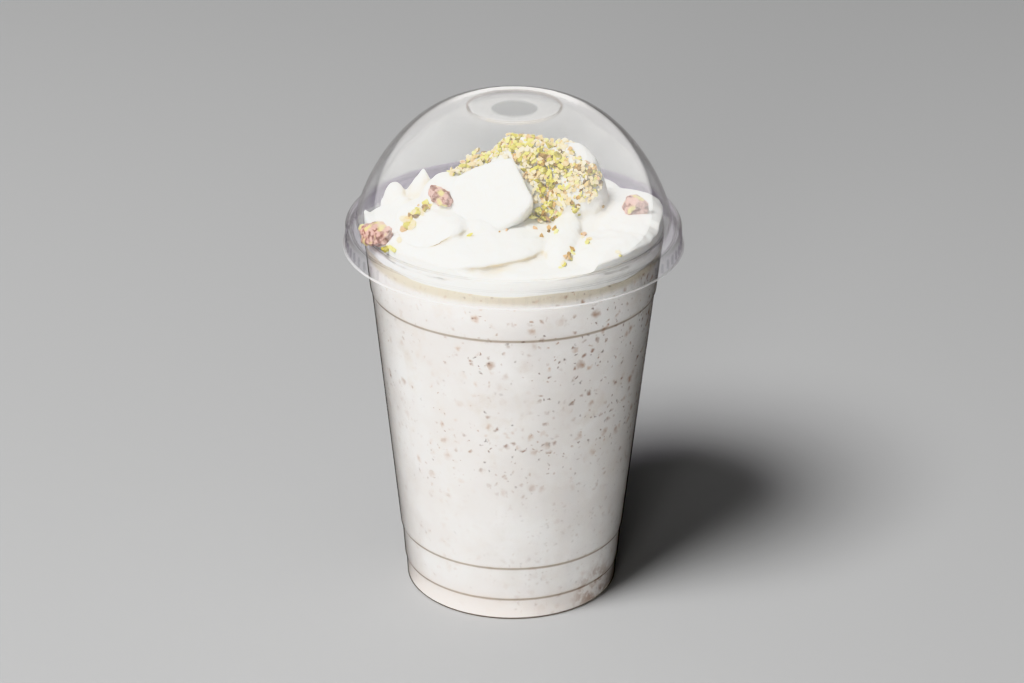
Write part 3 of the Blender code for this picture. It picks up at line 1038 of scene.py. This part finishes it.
def markTone(piece, value):
    layer = piece.data.attributes.new("tone", "FLOAT", "POINT")
    for entry in layer.data:
        entry.value = value


def treeOf(piece):
    points = [v.co for v in piece.data.vertices]
    return BVHTree.FromPolygons(points, [face.vertices for face in piece.data.polygons])


def landing(trees, camera, x, y):
    # where a line of sight through a pixel of the photograph first meets the cream
    across = (x - frameWide / 2) / frameWide * camera.data.sensor_width
    down = (y - frameTall / 2) / frameWide * camera.data.sensor_width
    way = camera.matrix_world.to_3x3() @ Vector((across, -down, -camera.data.lens))
    hits = [tree.ray_cast(camera.matrix_world.translation, way.normalized()) for tree in trees]
    hits = [hit for hit in hits if hit[0] is not None]
    if not hits:
        return None, None
    nearest = min(hits, key=lambda hit: hit[3])
    return nearest[0], nearest[1]


def scatterNut(rng, masters, spot, normal, size, lift):
    lie = normal.to_track_quat("Z", "Y").to_matrix().to_4x4()
    tilt = nutShape["tilt"]
    roll = Matrix.Rotation(rng.uniform(0, math.tau), 4, "Z")
    roll = roll @ Matrix.Rotation(rng.uniform(-tilt, tilt), 4, "X")
    wide = size * rng.uniform(*nutShape["width"])
    tall = size * rng.uniform(*nutShape["height"])
    place = Matrix.Translation(spot + normal * lift) @ lie @ roll @ Matrix.Diagonal((size, wide, tall, 1))
    nut = copyAs(masters[rng.randrange(len(masters))], place)
    markTone(nut, rng.random())
    return nut


def inEllipse(rng, wide, deep):
    r = math.sqrt(rng.random())
    angle = rng.uniform(0, math.tau)
    return r, wide * r * math.cos(angle), deep * r * math.sin(angle)


def makeNuts(cream, block, camera):
    rng = random.Random(nutShape["seed"])
    cuts = nutShape["cuts"]
    masters = [cutMaster(rng, cuts[i % len(cuts)]) for i in range(nutShape["masters"])]
    tree = treeOf(cream)
    blockTree = treeOf(block)
    pieces = {kind: [] for kind in nutStops}
    for row in nutPatches:
        patch = dict(zip(patchKeys, row))
        turn = math.radians(patch["turn"])
        for _ in range(patch["pieces"]):
            r, across, along = inEllipse(rng, patch["wide"], patch["deep"])
            x = patch["x"] + across * math.cos(turn) - along * math.sin(turn)
            y = patch["y"] + across * math.sin(turn) + along * math.cos(turn)
            size = rng.uniform(patch["least"], patch["most"]) * rng.uniform(0.75, 1.15)
            layer = rng.randrange(patch["layers"])
            pick = rng.random()
            kind = "green" if pick < patch["green"] else "pale"
            if pick > 1 - patch["brown"]:
                kind = "brown"
            spot, normal = landing((tree, blockTree), camera, x, y)
            if spot is None or blockTree.find_nearest(spot)[3] < nutShape["blockGap"]:
                continue
            lift = size * nutShape["lift"] + layer * nutShape["layerLift"] * (1 - r * nutShape["layerFall"])
            pieces[kind].append(scatterNut(rng, masters, spot, normal, size, lift))
    for _ in range(hiddenNuts["pieces"]):
        _, across, along = inEllipse(rng, hiddenNuts["wide"], hiddenNuts["deep"])
        above = Vector((hiddenNuts["x"] + across, hiddenNuts["y"] + along, hiddenNuts["from"]))
        spot, normal = tree.ray_cast(above, Vector((0, 0, -1)))[:2]
        size = rng.uniform(hiddenNuts["least"], hiddenNuts["most"])
        kind = rng.choice(("green", "pale", "pale", "brown"))
        pieces[kind].append(scatterNut(rng, masters, spot, normal, size, size * nutShape["lift"]))
    for x, y in nutCrumbs:
        spot, normal = landing((tree,), camera, x, y)
        if spot is not None:
            size = rng.uniform(*nutShape["crumbs"])
            kind = rng.choice(("green", "pale", "brown", "brown"))
            pieces[kind].append(scatterNut(rng, masters, spot, normal, size, size * nutShape["lift"]))
    joined = {}
    for kind, nuts in pieces.items():
        joined[kind] = joinPieces(nuts, "pistachios_" + kind)
        settle(joined[kind])
        smoothBy(joined[kind], 25)
    for master in masters:
        bpy.data.objects.remove(master)
    return joined


def makeSkinned(cream, camera):
    rng = random.Random(nutShape["seed"] + 1)
    tree = treeOf(cream)
    pieces = []
    pixel = camera.matrix_world.translation.length / camera.data.lens * camera.data.sensor_width / frameWide
    for skinned in skinnedPieces:
        master = cutMaster(rng, skinShape["cuts"], skinShape["nearest"], skinShape["furthest"])
        spot, normal = landing((tree,), camera, skinned["x"], skinned["y"])
        turn = math.radians(skinned["turn"])
        along = camera.matrix_world.to_3x3() @ Vector((math.cos(turn), -math.sin(turn), 0))
        along = (along - normal * along.dot(normal)).normalized()
        lie = Matrix((along, normal.cross(along), normal)).transposed().to_4x4()
        scale = Matrix.Diagonal((skinned["long"] * pixel, skinned["wide"] * pixel, skinned["thick"], 1))
        lift = normal * skinned["thick"] * nutShape["lift"]
        master.matrix_world = Matrix.Translation(spot + lift) @ lie @ scale
        settle(master)
        divisions = skinShape["divisions"]
        useModifier(master, "SUBSURF", levels=divisions, render_levels=divisions, subdivision_type="SIMPLE")
        useModifier(master, "SMOOTH", factor=0.5, iterations=skinShape["smoothing"])
        swell(master, *skinShape["swell"])
        pieces.append(master)
    joined = joinPieces(pieces, "pistachios_whole_skin")
    settle(joined)
    smoothAll(joined)
    return joined


def nutFinish(name, stops):
    finish = Finish(name)
    own = finish.node("ShaderNodeAttribute", {"attribute_name": "tone"}, out="Fac")
    wander = (finish.noise(1400.0, 3.0, 0.6) - 0.5) * 0.5
    colour = finish.node("ShaderNodeValToRGB", {"stops": stops}, {"Fac": own + wander}, out="Color")
    shader = finish.node(
        "ShaderNodeBsdfPrincipled",
        {},
        {
            "Base Color": colour,
            "Roughness": 0.55,
            "Normal": finish.bump(finish.noise(2600.0, 3.0, 0.6), 0.00015),
        },
    )
    return finish.surface(shader)


skinLook = {"skin": tone(200, 166, 156), "deep": tone(122, 80, 68), "flesh": tone(204, 194, 132)}


def skinFinish():
    finish = Finish("pistachio_skin")
    wrinkle = finish.noise(560.0, 4.0, 0.7)
    colour = finish.blend(wrinkle.rising(0.42, 0.56), skinLook["deep"], skinLook["skin"])
    colour = finish.blend(finish.noise(300.0, 1.0).rising(0.58, 0.74), colour, skinLook["flesh"])
    shader = finish.node(
        "ShaderNodeBsdfPrincipled",
        {},
        {"Base Color": colour, "Roughness": 0.6, "Normal": finish.bump(wrinkle, 0.0005)},
    )
    return finish.surface(shader)


# The stage: a plain pale floor, soft light from the left and above, and the camera

stageLook = {
    "floor": tone(154, 154, 154),
    "floorSize": 30.0,
    "skyColour": (1.0, 0.985, 0.965, 1),
    "sky": 0.60,             # seen in the gloss only
    "glows": (
        {"way": (-0.30, -0.10, 0.95), "narrow": 6.0, "strength": 0.25},
        {"way": (0.05, 0.88, 0.47), "narrow": 10.0, "strength": 0.10},
        {"way": (-0.85, 0.50, 0.15), "narrow": 2.0, "strength": 0.80},
        {"way": (0.85, 0.50, 0.15), "narrow": 2.0, "strength": 1.35},
        {"way": (0.02, 0.99, 0.08), "narrow": 120.0, "strength": 3.0},
    ),
}
# name, place, size, power and colour
softLights = (
    ("key_light", (-1.18, -1.13, 2.42), 1.25, 152.0, (1.0, 1.0, 1.0)),
    ("front_light", (-0.50, -2.30, 0.40), 0.80, 37.0, (1.0, 0.985, 0.97)),
    ("top_light", (0.0, 0.2, 3.0), 3.00, 16.0, (1.0, 1.0, 1.0)),
)
lightGoal = (0, 0, 0.08)
cameraSet = {
    "distance": 0.90955,     # from the origin
    "above": 29.227,         # degrees
    "roll": 0.3782,
    "yaw": -0.0124,
    "pitch": 4.5378,
    "lens": 99.98,
    "sensor": 36,
    "clip": (0.05, 60),
}


def makeFloor():
    bpy.ops.object.select_all(action="DESELECT")
    bpy.ops.mesh.primitive_plane_add(size=stageLook["floorSize"])
    floor = bpy.context.object
    floor.name = "floor"
    finish = Finish("pale_floor")
    sockets = {"Base Color": stageLook["floor"], "Specular IOR Level": 0.0}
    shader = finish.node("ShaderNodeBsdfPrincipled", {}, sockets)
    floor.data.materials.append(finish.surface(shader))


def makeLight():
    world = bpy.data.worlds.new("studio")
    bpy.context.scene.world = world
    world.cycles_visibility.diffuse = False
    finish = Finish("studio", world)
    way = finish.node("ShaderNodeTexCoord", out="Generated")
    strength = stageLook["sky"]
    for glow in stageLook["glows"]:
        sockets = {0: way, 1: Vector(glow["way"]).normalized()}
        near = finish.node("ShaderNodeVectorMath", {"operation": "DOT_PRODUCT"}, sockets, out="Value")
        strength = strength + near.maths("MAXIMUM", near, 0.0) ** glow["narrow"] * glow["strength"]
    sky = finish.node("ShaderNodeBackground", {}, {"Color": stageLook["skyColour"], "Strength": strength})
    finish.surface(sky)
    for name, place, size, power, colour in softLights:
        bpy.ops.object.select_all(action="DESELECT")
        bpy.ops.object.light_add(type="AREA", location=place)
        lamp = bpy.context.object
        lamp.name = name
        lamp.data.shape = "DISK"
        lamp.data.size = size
        lamp.data.energy = power
        lamp.data.color = colour
        lamp.rotation_euler = (Vector(lightGoal) - Vector(place)).to_track_quat("-Z", "Y").to_euler()
        lamp.visible_glossy = False


def makeCamera():
    above = math.radians(cameraSet["above"])
    spot = Vector((0, -math.cos(above), math.sin(above))) * cameraSet["distance"]
    ahead = -spot.normalized()
    right = Vector((1, 0, 0))
    up = right.cross(ahead)
    for angle, axisName in (("roll", "ahead"), ("yaw", "up"), ("pitch", "right")):
        axis = {"ahead": -ahead, "up": up, "right": right}[axisName]
        turn = Matrix.Rotation(math.radians(cameraSet[angle]), 3, axis)
        ahead, right, up = turn @ ahead, turn @ right, turn @ up
    bpy.ops.object.select_all(action="DESELECT")
    bpy.ops.object.camera_add()
    camera = bpy.context.object
    camera.name = "camera"
    camera.data.sensor_width = cameraSet["sensor"]
    camera.data.lens = cameraSet["lens"]
    facing = Matrix((right, up, -ahead)).transposed().to_4x4()
    facing.translation = spot
    camera.matrix_world = facing
    camera.data.clip_start, camera.data.clip_end = cameraSet["clip"]
    bpy.context.scene.camera = camera
    return camera


makeFloor()
makeLight()
camera = makeCamera()
bpy.context.scene.view_settings.view_transform = "Khronos PBR Neutral"
bpy.context.scene.view_settings.exposure = 0.0
bpy.context.scene.cycles.transparent_max_bounces = 32
print("stage set")

cup = makeCup()
dress(cup, clearPlastic("clear_cup", cupLook), "cup_plastic", "cup")
print("cup made:", len(cup.data.polygons), "faces")

lid = makeLid()
dress(lid, clearPlastic("clear_lid", lidLook), "lid_plastic", "lid")
ribs = makeRibs()
dress(ribs, clearPlastic("clear_ribs", ribLook), "lid_plastic")
print("lid made:", len(lid.data.polygons), "faces")

shake = makeShake()
dress(shake, shakeFinish(), "shake", "milkshake")
print("shake made:", len(shake.data.polygons), "faces")

cream = makeCream()
dress(cream, creamFinish("whipped_cream", creamLook), "cream_and_nuts", "whipped_cream")
print("cream made:", len(cream.data.polygons), "faces")

block = makeBlock()
dress(block, creamFinish("thick_cream", creamLook), "thick_cream", "cream_lump")
print("block made:", len(block.data.polygons), "faces")

for kind, nuts in makeNuts(cream, block, camera).items():
    dress(nuts, nutFinish("pistachio_" + kind, nutStops[kind]), "cream_and_nuts")
    print("nuts made:", kind, len(nuts.data.polygons), "faces")
whole = makeSkinned(cream, camera)
dress(whole, skinFinish(), "cream_and_nuts")
print("skinned nuts made:", len(whole.data.polygons), "faces")
